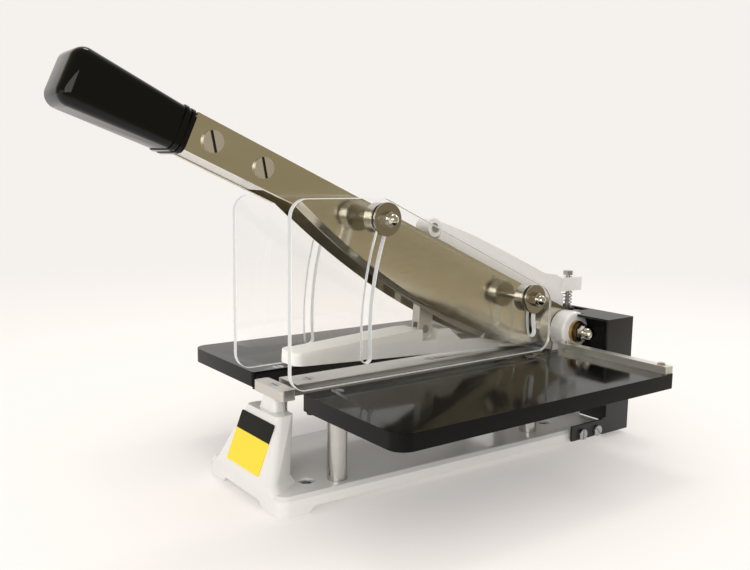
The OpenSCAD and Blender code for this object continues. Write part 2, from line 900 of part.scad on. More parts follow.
// least distance between wires of neighbouring turns
function coil_gap(p, w) = min([for (i = [1 : len(p) - 2 - rings_per_turn])
  min([for (k = [-1 : 1]) norm(p[i + rings_per_turn + min(k, len(p) - 2 - rings_per_turn - i)]
    - p[i])])]) - 2 * w;

arm_coil = coil_points(coil_r, seat_z + seat_t, lug_low, 2 * wire_r, coil_turns);
echo(arm_spring_gap = coil_gap(arm_coil, wire_r));

module arm_spring() {
  color(steel)
    translate([0, stop_y, 0])
      wound_wire(arm_coil, wire_r);
}

// arm, in the lever frame as drawn: distance ahead of the pivot, height above it
arm_upper = [[9, 45.2], [18, 45.8], [32, 41.6], [75, 41.2], [130, 40], [158, 37.6], [172, 36.2]];
arm_lower = [[172, 21.4], [152, 21.4], [142, 17], [122, 14.6], [60, 14.3], [26, 9], [14, -2],
  [-8, -2], [-8, 6]];
rib_v = 31.5;
rib_x = 6;
arm_room = 2 * arm_lower[0][0];
boss_pin_r = 7.6;
boss_x = 8;
lug_x = 7.4;
lug_ends = [9.5, 39];
lug_soft = 3;
lug_hole_r = 3.35;
lug_hole_lead = 1;
link_neck_r = 5.2;
link_pocket = 30;
link_sheet = 1.6;
link_pin_r = 2.3;
link_web_low = 5.5;
link_neck_len = 13;
pin_slot_t = 0.6;
arm_pin_r = 2.6;

module arm_outline() {
  polygon([for (p = concat(arm_upper, arm_lower)) [-p[0], p[1]]]);
}

module presser_arm() {
  top_pin = [fy(link_top[0]), link_top[1]];
  color(casting)
    difference() {
      union() {
        difference() {
          lever_place() {
            along_x(-arm_x, arm_x)
              intersection() {
                arm_outline();
                translate([-arm_room, rib_v - arm_room]) square([2 * arm_room, arm_room]);
              }
            along_x(-rib_x, rib_x)
              intersection() {
                arm_outline();
                translate([-arm_room, rib_v - over]) square([2 * arm_room, arm_room]);
              }
          }
          both_sides()
            rod_x(arm_hub_x, arm_x + over, arm_hub_r + arm_hub_room, pin_at);
        }
        rod_x(-arm_hub_x, arm_hub_x, arm_hub_r, pin_at);
        rod_x(-boss_x, boss_x, boss_pin_r, top_pin);
        soft_box(-lug_x, lug_x, pivot_y + lug_ends[0], pivot_y + lug_ends[1], lug_low, lug_low + lug_t,
          lug_soft);
      }
      rod_x(-arm_hub_x - over, arm_hub_x + over, shaft_r + run_fit, pin_at);
      rod_x(-boss_x - over, boss_x + over, arm_pin_r + run_fit, top_pin);
      link_room = link_x + loose;
      translate([0, top_pin[0], top_pin[1]])
        rotate([-link_lean, 0, 0])
          along_x(-link_room, link_room) {
            circle(r = link_neck_r + loose);
            translate([-link_neck_r - loose, -link_pocket])
              square([2 * (link_neck_r + loose), link_pocket]);
          }
      rod_z(lug_low - over, lug_low + lug_t + over, lug_hole_r, [0, stop_y + lug_hole_lead]);
    }
}

link_span = norm(link_top - link_low);
link_lean = atan2(link_top[0] - link_low[0], link_top[1] - link_low[1]);

module link_place() {
  translate([0, fy(link_low[0]), link_low[1]])
    rotate([-link_lean, 0, 0]) children();
}

// slotted pin through the arm's front boss
module arm_pin() {
  head_r = 3.8;
  head_t = 0.9;
  color(steel)
    translate([0, fy(link_top[0]), link_top[1]])
      difference() {
        union() {
          rod_x(-boss_x, boss_x + eps, arm_pin_r);
          rod_x(boss_x, boss_x + head_t, head_r);
        }
        box(boss_x + head_t - pin_slot_t, boss_x + head_t + over, -head_r, head_r,
          -slot_cut_w / 2, slot_cut_w / 2);
      }
}

// channel that hangs from the arm and carries the presser bar
module link_channel() {
  half = link_w / 2;
  color(bright)
    link_place()
      difference() {
        union() {
          both_sides() {
            rod_x(link_x - link_sheet, link_x, half);
            box(link_x - link_sheet, link_x, -half, half, 0, link_span - link_neck_len);
            box(link_x - link_sheet, link_x, -link_neck_r, link_neck_r,
              link_span - link_neck_len - over, link_span);
            rod_x(link_x - link_sheet, link_x, link_neck_r, [0, link_span]);
          }
          box(-link_x, link_x, -half, -half + link_sheet, link_web_low, link_span - link_neck_len);
        }
        rod_x(-link_x - over, link_x + over, link_pin_r + run_fit);
        rod_x(-link_x - over, link_x + over, arm_pin_r + run_fit, [0, link_span]);
      }
}

module link_pin() {
  head_r = 3.4;
  head_t = 1;
  color(steel)
    translate([0, fy(link_low[0]), link_low[1]])
      difference() {
        union() {
          rod_x(-link_x, link_x + eps, link_pin_r);
          both_sides() rod_x(link_x, link_x + head_t, head_r);
        }
        box(link_x + head_t - pin_slot_t, link_x + head_t + over, -slot_cut_w / 2,
          slot_cut_w / 2, -head_r, head_r);
      }
}

presser_tail = [[20, 20.5], [34, 10]];
presser_lug_r = 11.4;
presser_end = 13;
presser_neck_x = 2.4;
// underside's rise at the heel: from and to, ahead of the pivot, and how much
presser_heel = [40, 20];
presser_heel_rise = 1.2;
presser_soft = 7;
presser_room = 60;
presser_lug_in = 1.6;
presser_lug_up = 3;
link_room_y = [1.2, 1.6];
link_web_room = 2.8;
link_web_up = 4.4;

// long bar that presses the sample on the anvil
module presser_bar() {
  low = -hold_low;
  pin = turned(arm_of(link_low), hold_rest);
  front = presser_back - pivot_back;
  half = presser_w / 2;
  heel_v = low + presser_heel_rise;
  color([0.93, 0.93, 0.88])
    hold_place()
      difference() {
        union() {
          intersection() {
            along_x(-half, half)
              polygon([[front, low], [-presser_heel[0], low], [-presser_heel[1], heel_v],
                [-presser_end, heel_v], [-presser_end, low + presser_tail[1][1]],
                [pin[0] + presser_tail[1][0], low + presser_tail[1][1]],
                [pin[0] + presser_tail[0][0], low + presser_h1],
                [pin[0] - presser_tail[0][0], low + presser_h1], [front, low + presser_h0]]);
            soft_box(-half, half, front, presser_end, low, low + presser_room, presser_soft);
          }
          both_sides() {
            rod_x(arm_hub_x + loose, half, presser_lug_r);
            along_x(arm_hub_x + loose, half)
              polygon([[-presser_end - over, heel_v], [0, low + presser_lug_in], [0, 0],
                [-presser_end - over, -presser_lug_up]]);
          }
        }
        rod_x(-half - over, half + over, shaft_r + run_fit);
        both_sides() {
          box(presser_neck_x, half + over, pin[0] - link_w / 2 - link_room_y[0],
            pin[0] + link_w / 2 + link_room_y[1], pin[1] - link_w / 2 - over,
            pin[1] + presser_room);
        }
        box(-half, half, pin[0] - link_w / 2 - link_room_y[0],
          pin[0] - link_w / 2 + link_web_room, pin[1] + link_web_up, pin[1] + presser_room);
        rod_x(-half, half, link_pin_r + run_fit, pin);
        rod_x(-arm_hub_x - loose, arm_hub_x + loose, arm_hub_r + loose, [0, 0]);
      }
}

// the cutting edge's three points in the lever frame
edge_a = [-edge_start, -bar_drop];
edge_b = [-edge_mid, -edge_mid_drop];
edge_c = [-edge_end, -edge_end_drop];
heel = [[61, 33.5], [36, 28], [2, 22], [-13, 14]];
tail_drop = 8;
bevel_land = 0.8;
bar_mid = (knife_top - bar_drop) / 2;
screw_hole_r = 3;
knife_slot_t = 1.2;
knife_slot_w = 2;
knife_slot_turn = 35;

module knife_outline() {
  m = centre3(edge_a, edge_b, edge_c);
  r = norm(edge_a - m);
  intersection() {
    translate([-edge_start, -2 * edge_end_drop])
      square([edge_start - edge_end, 2 * edge_end_drop + knife_top]);
    translate(m) circle(r = r, $fn = 720);
  }
  polygon(concat([[knife_tail, knife_top], [-edge_end - eps, knife_top],
    [-edge_end - eps, -edge_end_drop], [-edge_end, -edge_end_drop]],
    [for (h = heel) [-h[0], -h[1]]], [[knife_tail, -tail_drop]]));
  translate([-bar_end, -bar_drop])
    square([bar_end - edge_start + eps, knife_top + bar_drop]);
}

// the right-hand knife, flat face towards the anvil
module knife_shape() {
  m = centre3(edge_a, edge_b, edge_c);
  r = norm(edge_a - m);
  a0 = heading(m, edge_a);
  sweep = (heading(m, edge_c) - a0 + 540) % 360 - 180;
  slope = (knife_t - bevel_land) / bevel_h;
  lever_place()
    difference() {
      along_x(knife_in, knife_out) knife_outline();
      translate([0, m[0], m[1]])
        rotate([90, 0, 90])
          rotate([0, 0, a0])
            rotate_extrude(angle = sweep, $fn = 720)
              polygon([[r - bevel_h, knife_out + eps], [r + over, knife_out + eps],
                [r + over, knife_out - slope * (bevel_h + over)]]);
      rod_x(0, knife_out + over, shaft_r + run_fit);
      for (u = knife_screw_u)
        rod_x(0, knife_out + over, screw_hole_r + run_fit, [-u, bar_mid]);
      for (s = [stud_a, stud_b])
        rod_x(0, knife_out + over, stud_r + run_fit, in_lever(s));
      rod_x(0, knife_out + over, peg_r + run_fit, [-peg_u, peg_v]);
    }
}

module right_knife() {
  color(steel) knife_shape();
}

module left_knife() {
  color(steel) mirror([1, 0, 0]) knife_shape();
}

tang_start = 336;
tang_end = 462;
tang_inner_x = 10;
tang_inner_v = [-2.6, 13.4];
tang_in = 0.6;

// spacer between the knife bars that runs on into the grip
module tang_bar() {
  color(steel)
    lever_place()
      difference() {
        union() {
          box(-knife_in, knife_in, -bar_end, -tang_start, -bar_drop + tang_in,
            knife_top - tang_in);
          box(-tang_inner_x, tang_inner_x, -tang_end, -bar_end + over, tang_inner_v[0],
            tang_inner_v[1]);
        }
        for (u = knife_screw_u)
          rod_x(-knife_in - over, knife_in + over, screw_hole_r + run_fit, [-u, bar_mid]);
      }
}

module knife_screws() {
  head_t = 2.2;
  color(bright)
    lever_place()
      for (u = knife_screw_u) {
        rod_x(-knife_out - eps, knife_out + eps, screw_hole_r, [-u, bar_mid]);
        both_sides()
          difference() {
            rod_x(knife_out, knife_out + head_t, knife_screw_r, [-u, bar_mid]);
            translate([knife_out + head_t - knife_slot_t, -u, bar_mid])
              rotate([knife_slot_turn, 0, 0])
                box(0, knife_slot_t + over, -knife_slot_w / 2, knife_slot_w / 2,
                  -knife_screw_r - over, knife_screw_r + over);
          }
      }
}

grip_corner = [6, 9];
grip_bead = 1.1;
grip_bead_t = 2.2;
grip_bead_at = [1.6, 6.4];

// a rounded section of the grip, at a distance from the pivot
function grip_half_x(u) = grip_x0 + (grip_x1 - grip_x0) * (u - grip_start) / grip_len;
function grip_half_v(u) = (grip_h0 + (grip_h1 - grip_h0) * (u - grip_start) / grip_len) / 2;

module grip_ring(u, t, more) {
  x = grip_half_x(u) + more;
  v = grip_half_v(u) + more;
  r = grip_corner[0] + more;
  translate([0, -u, grip_up])
    rotate([90, 0, 0])
      linear_extrude(t)
        polygon(soft_outline([[-x, -v], [x, -v], [x, v], [-x, v]], [r, r, r, r]));
}

module handle_grip() {
  far = grip_start + grip_len - grip_corner[1];
  color([0.05, 0.05, 0.05])
    lever_place()
      difference() {
        union() {
          hull() {
            grip_ring(grip_start, over, 0);
            for (sx = [-1, 1], sv = [-1, 1])
              translate([sx * (grip_half_x(far) - grip_corner[1]), -far,
                grip_up + sv * (grip_half_v(far) - grip_corner[1])])
                sphere(r = grip_corner[1], $fn = 32);
          }
          for (u = grip_bead_at)
            grip_ring(grip_start + u, grip_bead_t, grip_bead);
        }
        box(-tang_inner_x - run_fit, tang_inner_x + run_fit, -tang_end - run_fit, -grip_start + over,
          tang_inner_v[0] - run_fit, tang_inner_v[1] + run_fit);
      }
}

sleeve_r = 11.8;
sleeve_x = [28.6, 38.2];
disc_r = 12.4;
disc_t = 2;
disc_x = guard_x + loose;
guard_nut_r = 6;
guard_nut_t = 4;
guard_dome_r = 4.4;
guard_dome_len = 6;
stud_past = 3;

module at_studs() {
  for (s = [stud_a, stud_b])
    translate([0, fy(s[0]), s[1]]) children();
}

module guard_studs() {
  color(steel)
    both_sides()
      at_studs() rod_x(knife_in, disc_x + disc_t + guard_nut_t + stud_past, stud_r);
}

module stud_sleeves() {
  color(bright)
    both_sides()
      at_studs()
        difference() {
          rod_x(sleeve_x[0], sleeve_x[1], sleeve_r);
          rod_x(sleeve_x[0] - over, sleeve_x[1] + over, stud_r + run_fit);
        }
}

module guard_discs() {
  color(steel)
    both_sides()
      at_studs()
        difference() {
          rod_x(disc_x, disc_x + disc_t, disc_r);
          rod_x(disc_x - over, disc_x + disc_t + over, stud_r + run_fit);
        }
}

module guard_nuts() {
  x0 = disc_x + disc_t;
  color(bright)
    both_sides()
      at_studs()
        difference() {
          acorn(x0, [0, 0], guard_nut_r, guard_nut_t, guard_dome_r, guard_dome_len);
          rod_x(x0 - over, x0 + guard_nut_t + stud_past + 4 * run_fit, stud_r + run_fit);
        }
}

// peg between the knives that lifts the arm at the top of the stroke
module lift_peg() {
  color(steel)
    lever_place()
      rod_x(-knife_out, knife_out, peg_r, [-peg_u, peg_v]);
}

guard_soft = [13, 13, 10, 18, 12];

module guard_shape() {
  inner = guard_x - guard_t;
  slope = (guard_top - guard_low[1]) / (guard_low[0] - guard_knee_back);
  back_up = guard_low[1] - slope * (guard_back - guard_low[0]);
  last = 1 + slot_past_angle / lever_travel;
  color(clear)
    along_x(inner, guard_x)
      difference() {
        polygon(soft_outline(
          [[fy(-guard_ahead), guard_lift], [fy(-guard_ahead), guard_top],
           [fy(guard_knee_back), guard_top], [fy(guard_back), back_up],
           [fy(guard_back), guard_lift]], guard_soft));
        for (s = [stud_a, stud_b])
          polygon(slot_points(in_guard(s, 0), in_guard(s, last / 2), in_guard(s, last), slot_w));
      }
}

module right_guard() {
  guard_shape();
}

module left_guard() {
  mirror([1, 0, 0]) guard_shape();
}

base_casting();
mount_screws();
table_posts();
left_table();
right_table();
table_screws();
table_pads();
fence_bar();
fence_screws();
anvil_beam();
anvil_bar();
anvil_screws();
bench_cups();
end_block();
end_block_screw();
label_plate();
rear_cover();
cover_screws();
pivot_shaft();
spacer_collars();
brass_rings();
spring_washers();
tension_nuts();
cotter_pins();
stop_bolt();
spring_seat();
arm_spring();
presser_arm();
arm_pin();
link_channel();
link_pin();
presser_bar();
left_knife();
right_knife();
tang_bar();
knife_screws();
handle_grip();
guard_studs();
stud_sleeves();
guard_discs();
guard_nuts();
lift_peg();
left_guard();
right_guard();
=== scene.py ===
import math

import bmesh
import bpy
from mathutils import Matrix, Vector


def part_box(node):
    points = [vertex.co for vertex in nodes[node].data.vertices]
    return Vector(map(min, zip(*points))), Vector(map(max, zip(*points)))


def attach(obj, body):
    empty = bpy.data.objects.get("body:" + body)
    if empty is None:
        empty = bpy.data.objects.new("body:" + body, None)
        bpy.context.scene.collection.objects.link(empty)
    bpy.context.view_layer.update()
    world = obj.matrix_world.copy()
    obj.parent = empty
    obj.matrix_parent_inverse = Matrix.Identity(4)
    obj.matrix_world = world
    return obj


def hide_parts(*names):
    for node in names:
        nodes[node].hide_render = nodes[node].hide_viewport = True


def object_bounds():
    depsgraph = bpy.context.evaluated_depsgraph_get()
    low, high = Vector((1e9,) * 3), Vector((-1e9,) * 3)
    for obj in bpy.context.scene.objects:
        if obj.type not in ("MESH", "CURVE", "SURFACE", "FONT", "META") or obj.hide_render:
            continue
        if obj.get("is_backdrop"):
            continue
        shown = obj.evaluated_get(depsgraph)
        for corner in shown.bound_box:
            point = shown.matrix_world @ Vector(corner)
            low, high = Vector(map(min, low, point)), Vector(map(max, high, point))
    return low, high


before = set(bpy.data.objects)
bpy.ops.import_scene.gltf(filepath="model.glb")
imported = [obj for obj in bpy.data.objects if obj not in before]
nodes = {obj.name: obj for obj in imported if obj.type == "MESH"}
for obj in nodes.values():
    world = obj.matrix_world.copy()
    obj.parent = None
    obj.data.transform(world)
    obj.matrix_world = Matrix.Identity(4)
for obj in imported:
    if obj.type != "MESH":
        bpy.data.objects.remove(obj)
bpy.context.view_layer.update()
print("frame loaded:", len(nodes), "nodes")

mm = 0.001

# solved from the photograph's edges, in the part's frame
cameraSetup = {
    "place": (0.52235, -0.43610, 0.15995),
    "forward": (-0.795619, 0.588927, -0.141972),
    "right": (0.593133, 0.804961, 0.015182),
    "focalPx": 825.55,
    "widthPx": 750,
    "sensor": 36.0,
    "nearest": 0.02,
    "farthest": 40.0,
}


def makeCamera(s):
    data = bpy.data.cameras.new("benchCamera")
    data.sensor_width = s["sensor"]
    data.lens = s["focalPx"] / s["widthPx"] * s["sensor"]
    data.clip_start = s["nearest"]
    data.clip_end = s["farthest"]
    cam = bpy.data.objects.new("benchCamera", data)
    forward = Vector(s["forward"]).normalized()
    right = Vector(s["right"])
    right = (right - right.dot(forward) * forward).normalized()
    up = right.cross(forward)
    turn = Matrix((right, up, -forward)).transposed().to_4x4()
    cam.matrix_world = Matrix.Translation(s["place"]) @ turn
    bpy.context.scene.collection.objects.link(cam)
    bpy.context.scene.camera = cam


def hexColour(text):
    # sRGB hex to linear
    def linear(c):
        return c / 12.92 if c <= 0.04045 else ((c + 0.055) / 1.055) ** 2.4
    return [linear(int(text[i:i + 2], 16) / 255) for i in (0, 2, 4)] + [1.0]


def setSockets(node, values):
    # a text is a colour
    for socket, value in values.items():
        node.inputs[socket].default_value = hexColour(value) if isinstance(value, str) else value


def addNode(tree, kind, links=None, values=None, **settings):
    # settings are the node's own; links and values go to its sockets, by name or number
    node = tree.nodes.new(kind)
    for key, value in settings.items():
        setattr(node, key, value)
    setSockets(node, values or {})
    for socket, source in (links or {}).items():
        tree.links.new(source, node.inputs[socket])
    return node


# a Mix node's socket numbers when it mixes colours
mixShare, mixFirst, mixSecond, mixResult = 0, 6, 7, 2

noiseDetail = {"ripple": 2.0, "tint": 3.0, "gloss": 4.0}
noiseSpan = (0.35, 0.65)  # where most of the noise's values lie


def addGrain(tree, grain, detail, squeeze):
    # uneven patches one grain wide, in metres on the piece; squeeze makes them finer along an axis,
    # or longer where it is under 1
    coords = addNode(tree, "ShaderNodeTexCoord")
    where = addNode(tree, "ShaderNodeMapping", {"Vector": coords.outputs["Object"]}, {"Scale": squeeze})
    noise = addNode(tree, "ShaderNodeTexNoise", {"Vector": where.outputs["Vector"]},
                    {"Scale": 1 / grain, "Detail": detail})
    return noise.outputs["Fac"]


def addRipple(tree, shader, grain, depth, squeeze=(1, 1, 1)):
    # bump of a given grain size and depth
    height = addGrain(tree, grain, noiseDetail["ripple"], squeeze)
    bump = addNode(tree, "ShaderNodeBump", {"Height": height}, {"Distance": depth})
    tree.links.new(bump.outputs["Normal"], shader.inputs["Normal"])


def addPatchyTint(tree, shader, grain, first, second, squeeze=(1, 1, 1)):
    # base colour that drifts between two tones
    share = addGrain(tree, grain, noiseDetail["tint"], squeeze)
    tone = addNode(tree, "ShaderNodeMix", {mixShare: share}, {mixFirst: first, mixSecond: second},
                   data_type="RGBA")
    tree.links.new(tone.outputs[mixResult], shader.inputs["Base Color"])


def addPatchyGloss(tree, shader, grain, low, high, squeeze=(1, 1, 1)):
    # roughness that wanders between two values
    share = addGrain(tree, grain, noiseDetail["gloss"], squeeze)
    spread = addNode(tree, "ShaderNodeMapRange", {"Value": share},
                     {"From Min": noiseSpan[0], "From Max": noiseSpan[1], "To Min": low, "To Max": high})
    tree.links.new(spread.outputs["Result"], shader.inputs["Roughness"])


def makeFinish(name, look):
    mat = bpy.data.materials.new(name)
    mat.use_nodes = True
    tree = mat.node_tree
    shader = tree.nodes["Principled BSDF"]
    setSockets(shader, look["shader"])
    if "ripple" in look:
        addRipple(tree, shader, **look["ripple"])
    if "tint" in look:
        addPatchyTint(tree, shader, **look["tint"])
    if "gloss" in look:
        addPatchyGloss(tree, shader, **look["gloss"])
    return mat


finishes = {
    # white enamel sprayed on sand-cast iron: glossy, faint orange peel
    "castingEnamel": {
        "shader": {"Base Color": "dcdbd8", "Roughness": 0.28, "Coat Weight": 0.9, "Coat Roughness": 0.08},
        "ripple": {"grain": 3.5 * mm, "depth": 0.12 * mm},
    },
    # black laminate face, polished: dark mirror with a little wiped haze
    "tableBlackLaminate": {
        "shader": {"Base Color": "0a0a0b", "Roughness": 0.12, "Specular IOR Level": 0.14},
        "gloss": {"grain": 60 * mm, "low": 0.07, "high": 0.12, "squeeze": (1, 3, 1)},
    },
    # satin black powder coat on folded sheet: even fine grain
    "coverPowderCoat": {
        "shader": {"Base Color": "0c0c0e", "Roughness": 0.38},
        "ripple": {"grain": 0.9 * mm, "depth": 0.03 * mm},
    },
    # hardened tool steel, lapped: dim mirror with a trace of the lapping along the blade
    "knifeLappedSteel": {
        "shader": {"Base Color": "d2cdbd", "Roughness": 0.14, "Metallic": 1.0},
        "tint": {"grain": 90 * mm, "first": "ded9c8", "second": "c4bfb0", "squeeze": (1, 0.6, 2)},
        "gloss": {"grain": 30 * mm, "low": 0.1, "high": 0.18, "squeeze": (1, 1, 6)},
    },
    # surface-ground steel bar: pale, lines along its length, coarser than the real ones so that they show
    "anvilGroundSteel": {
        "shader": {"Base Color": "cfcec9", "Roughness": 0.32, "Metallic": 1.0},
        "ripple": {"grain": 0.5 * mm, "depth": 0.02 * mm, "squeeze": (1, 0.03, 1)},
    },
    # bright turned mild steel: light rings left by the tool
    "turnedMildSteel": {
        "shader": {"Base Color": "c9c8c4", "Roughness": 0.22, "Metallic": 1.0},
        "ripple": {"grain": 0.5 * mm, "depth": 0.015 * mm, "squeeze": (6, 1, 1)},
    },
    # turned steel with its colour made darker and warmer than bare metal as painted shade for the dim room
    # it mirrors, rings from the tool
    "discTurnedSteelPaintedShade": {
        "shader": {"Base Color": "a69f92", "Roughness": 0.22, "Metallic": 1.0},
        "ripple": {"grain": 0.5 * mm, "depth": 0.015 * mm, "squeeze": (6, 1, 1)},
    },
    # milled and tumbled steel block: pale, evenly dull
    "blockTumbledSteel": {
        "shader": {"Base Color": "d2d0cb", "Roughness": 0.38, "Metallic": 1.0},
        "ripple": {"grain": 0.8 * mm, "depth": 0.02 * mm},
    },
    # centreless-ground round bar: bright, soft lengthwise sheen
    "postGroundBar": {
        "shader": {"Base Color": "c6c5c2", "Roughness": 0.26, "Metallic": 1.0},
        "gloss": {"grain": 8 * mm, "low": 0.2, "high": 0.34, "squeeze": (1, 1, 0.2)},
    },
    # bright zinc plate on fasteners: slightly blue, soft gloss
    "fastenerBrightZinc": {
        "shader": {"Base Color": "b4b6b8", "Roughness": 0.3, "Metallic": 1.0},
    },
    # big slotted screw heads, faced on a lathe and satin-plated: pale and soft
    "screwSatinNickel": {
        "shader": {"Base Color": "dedbd4", "Roughness": 0.42, "Metallic": 1.0},
    },
    # polished nickel plate on the domed nuts: small sharp highlights
    "domedNutNickel": {
        "shader": {"Base Color": "d6d3cc", "Roughness": 0.1, "Metallic": 1.0},
    },
    # phosphor-bronze coned washers, tarnished: brown with a dull sheen
    "conedWasherBronze": {
        "shader": {"Base Color": "6b5a44", "Roughness": 0.36, "Metallic": 1.0},
    },
    # turned brass, dulled by handling: warm, with a soft highlight
    "ringTurnedBrass": {
        "shader": {"Base Color": "b69a5c", "Roughness": 0.34, "Metallic": 1.0},
    },
    # aluminium bar brushed along its length: pale streaks, coarser than the real ones so that they show
    "fenceBrushedAluminium": {
        "shader": {"Base Color": "e0dfdb", "Roughness": 0.36, "Metallic": 1.0},
        "ripple": {"grain": 0.6 * mm, "depth": 0.03 * mm, "squeeze": (0.03, 1, 1)},
    },
    # zinc-plated steel sheet, folded and tumbled: pale, half matt
    "linkTumbledSheet": {
        "shader": {"Base Color": "e4e2dc", "Roughness": 0.5, "Metallic": 0.7},
        "ripple": {"grain": 0.5 * mm, "depth": 0.02 * mm, "squeeze": (1, 1, 0.05)},
    },
    # milled steel flat bar: duller and darker than the ground anvil above it
    "beamMilledSteel": {
        "shader": {"Base Color": "8f8d88", "Roughness": 0.42, "Metallic": 1.0},
        "ripple": {"grain": 0.7 * mm, "depth": 0.02 * mm, "squeeze": (1, 0.05, 1)},
    },
    # cast acrylic sheet with polished faces: clear
    "guardClearAcrylic": {
        "shader": {"Base Color": "ffffff", "Roughness": 0.0, "Transmission Weight": 1.0,
                   "Specular IOR Level": 0.3, "IOR": 1.49},
    },
    # sawn and flame-polished acrylic edge: the light it gathers from the sheet is painted on as a faint
    # white glow
    "guardEdgePaintedGlow": {
        "shader": {"Base Color": "f4f7f6", "Roughness": 0.3, "Transmission Weight": 0.45, "IOR": 1.49,
                   "Emission Color": "f4f8f8", "Emission Strength": 0.1},
    },
    # machined natural nylon: milky, light soaks in
    "presserMilkyNylon": {
        "shader": {"Base Color": "fbf9f1", "Roughness": 0.32, "Subsurface Weight": 0.4,
                   "Subsurface Radius": (3 * mm, 3 * mm, 2.5 * mm), "Subsurface Scale": 1.0},
    },
    # black plastic from a polished mould: deep black, small sharp highlights
    "gripGlossPlastic": {
        "shader": {"Base Color": "020203", "Roughness": 0.05, "Specular IOR Level": 0.28},
    },
    # moulded black rubber: dull
    "mouldedBlackRubber": {
        "shader": {"Base Color": "161616", "Roughness": 0.75},
    },
    # printed polyester sheet: plain yellow, half gloss
    "labelYellowPrint": {
        "shader": {"Base Color": "f0d52c", "Roughness": 0.4},
    },
    # the same sheet's plain dark band
    "labelBlackPrint": {
        "shader": {"Base Color": "0d0d0c", "Roughness": 0.4, "Specular IOR Level": 0.2},
    },
    # painted shade on the walls and floor of a screwdriver slot: near black, dull
    "slotPaintedShade": {
        "shader": {"Base Color": "1d1a16", "Roughness": 0.6},
    },
}
mats = {name: makeFinish(name, look) for name, look in finishes.items()}
print("materials made:", len(mats))

# how every node's copy is joined up, and past which angles in degrees an edge is sharp or gets rounded
meshLook = {"merge": 0.002 * mm, "flatAngle": 0.6, "smoothAngle": 35, "edgeAngle": 38}

# a piece's material slots, in the order in which its finishes are given
firstFinish, secondFinish = 0, 1


def meldedCopy(name):
    # the node's triangles joined up and flattened into whole faces
    bm = bmesh.new()
    bm.from_mesh(nodes[name].data)
    bmesh.ops.remove_doubles(bm, verts=bm.verts, dist=meshLook["merge"])
    flat = math.radians(meshLook["flatAngle"])
    bmesh.ops.dissolve_limit(bm, angle_limit=flat, verts=bm.verts, edges=bm.edges)
    return bm


def placePiece(bm, name, body, finishNames, smoothAngle=meshLook["smoothAngle"]):
    mesh = bpy.data.meshes.new(name)
    bm.to_mesh(mesh)
    bm.free()
    for finish in finishNames:
        mesh.materials.append(mats[finish])
    mesh.shade_smooth()
    mesh.set_sharp_from_angle(angle=math.radians(smoothAngle))
    piece = bpy.data.objects.new(name, mesh)
    bpy.context.scene.collection.objects.link(piece)
    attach(piece, body)
    return piece


def roundEdges(piece, look):
    mod = piece.modifiers.new("edgeBreak", "BEVEL")
    mod.width = look["edge"]
    mod.segments = look["steps"]
    mod.limit_method = "ANGLE"
    mod.angle_limit = math.radians(meshLook["edgeAngle"])
    mod.use_clamp_overlap = True
    mod.harden_normals = True
    return mod


def finishNode(name, how):
    piece = placePiece(meldedCopy(name), name + "Finished", how["body"], [how["finish"]])
    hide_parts(name)
    roundEdges(piece, how)


# pieces that need one finish and rounded edges: edge is how wide the rounding is
castPieces = {
    "base_casting": {"body": "frame", "finish": "castingEnamel", "edge": 1.6 * mm, "steps": 4},
    "presser_arm": {"body": "hold_down", "finish": "castingEnamel", "edge": 1.3 * mm, "steps": 4},
    "presser_bar": {"body": "hold_down", "finish": "presserMilkyNylon", "edge": 1.0 * mm, "steps": 3},
}
platePieces = {
    "left_table": {"body": "frame", "finish": "tableBlackLaminate", "edge": 0.7 * mm, "steps": 3},
    "right_table": {"body": "frame", "finish": "tableBlackLaminate", "edge": 0.7 * mm, "steps": 3},
    "rear_cover": {"body": "frame", "finish": "coverPowderCoat", "edge": 0.6 * mm, "steps": 2},
    "anvil_beam": {"body": "frame", "finish": "beamMilledSteel", "edge": 0.5 * mm, "steps": 2},
    "anvil_bar": {"body": "frame", "finish": "anvilGroundSteel", "edge": 0.1 * mm, "steps": 1},
    "end_block": {"body": "frame", "finish": "blockTumbledSteel", "edge": 0.4 * mm, "steps": 2},
    "fence_bar": {"body": "frame", "finish": "fenceBrushedAluminium", "edge": 0.35 * mm, "steps": 2},
    "link_channel": {"body": "hold_down", "finish": "linkTumbledSheet", "edge": 0.25 * mm, "steps": 2},
    "tang_bar": {"body": "lever", "finish": "anvilGroundSteel", "edge": 0.4 * mm, "steps": 2},
    "left_knife": {"body": "lever", "finish": "knifeLappedSteel", "edge": 0.12 * mm, "steps": 2},
    "right_knife": {"body": "lever", "finish": "knifeLappedSteel", "edge": 0.12 * mm, "steps": 2},
}
